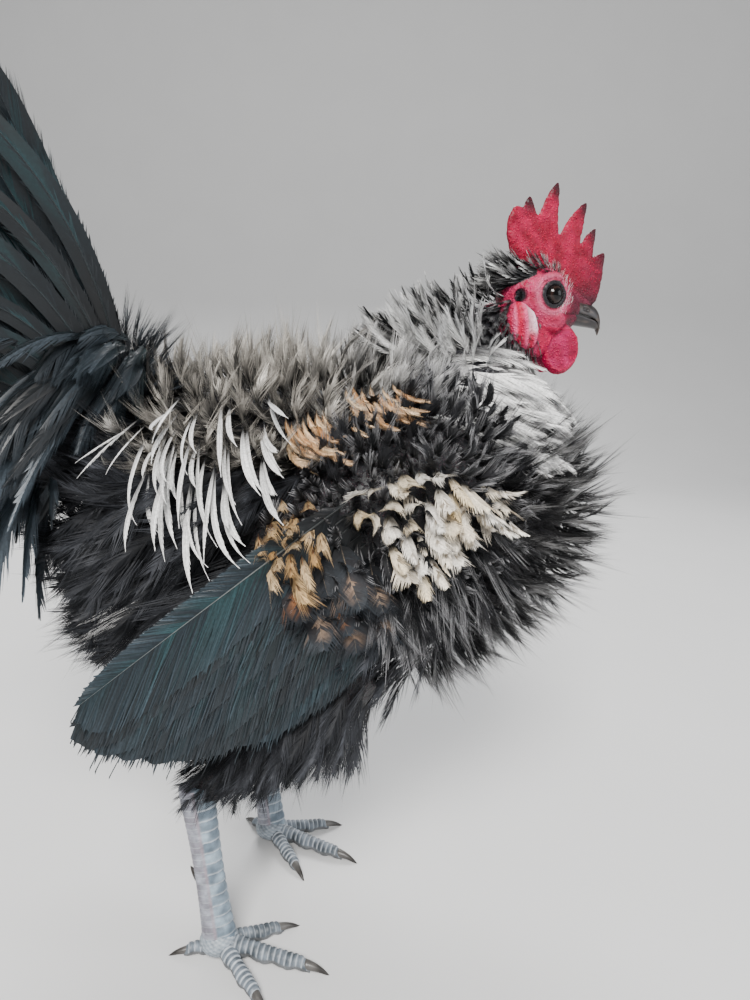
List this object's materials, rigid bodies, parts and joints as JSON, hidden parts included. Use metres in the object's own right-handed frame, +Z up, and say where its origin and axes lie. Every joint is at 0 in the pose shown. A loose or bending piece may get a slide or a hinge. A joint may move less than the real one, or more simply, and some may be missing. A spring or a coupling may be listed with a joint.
{
  "type": "standing frizzle rooster",
  "caption": "Life-size still model of a standing rooster with curled frizzle feathers, single comb, wattles, folded wings, raised tail and bare scaled legs.",
  "frame": {"origin": "middle of the bird's bounding box, on the floor under its feet", "axes": "+X the way the bird faces, +Y its left side, +Z up"},
  "size_m": [0.4416, 0.2636, 0.4403],
  "materials": {
    "body_feathers": "loose curled feathers",
    "hackle": "loose curled feathers",
    "wing": "feathers with a soft sheen",
    "tail": "feathers with a green-black sheen",
    "thigh": "fluffy feathers",
    "skin": "bare pebbled skin",
    "comb": "bare pebbled skin",
    "lobe": "bare smooth skin",
    "beak": "worn horn",
    "eye": "wet gloss",
    "leg": "scaled skin",
    "claw": "worn horn"
  },
  "bodies": {
    "root": {"beak_lower": "beak", "beak_upper": "beak", "claw_hind_left": "claw", "claw_hind_right": "claw", "claw_inner_left": "claw", "claw_inner_right": "claw", "claw_middle_left": "claw", "claw_middle_right": "claw", "claw_outer_left": "claw", "claw_outer_right": "claw", "comb": "comb", "earlobe_left": "lobe", "earlobe_right": "lobe", "eye_left": "eye", "eye_right": "eye", "head": "skin", "leg_left": "leg", "leg_right": "leg", "neck": "hackle", "spur_left": "claw", "spur_right": "claw", "tail": "tail", "thigh_left": "thigh", "thigh_right": "thigh", "torso": "body_feathers", "wattle_left": "comb", "wattle_right": "comb", "wing_left": "wing", "wing_right": "wing"}
  },
  "joints": []
}
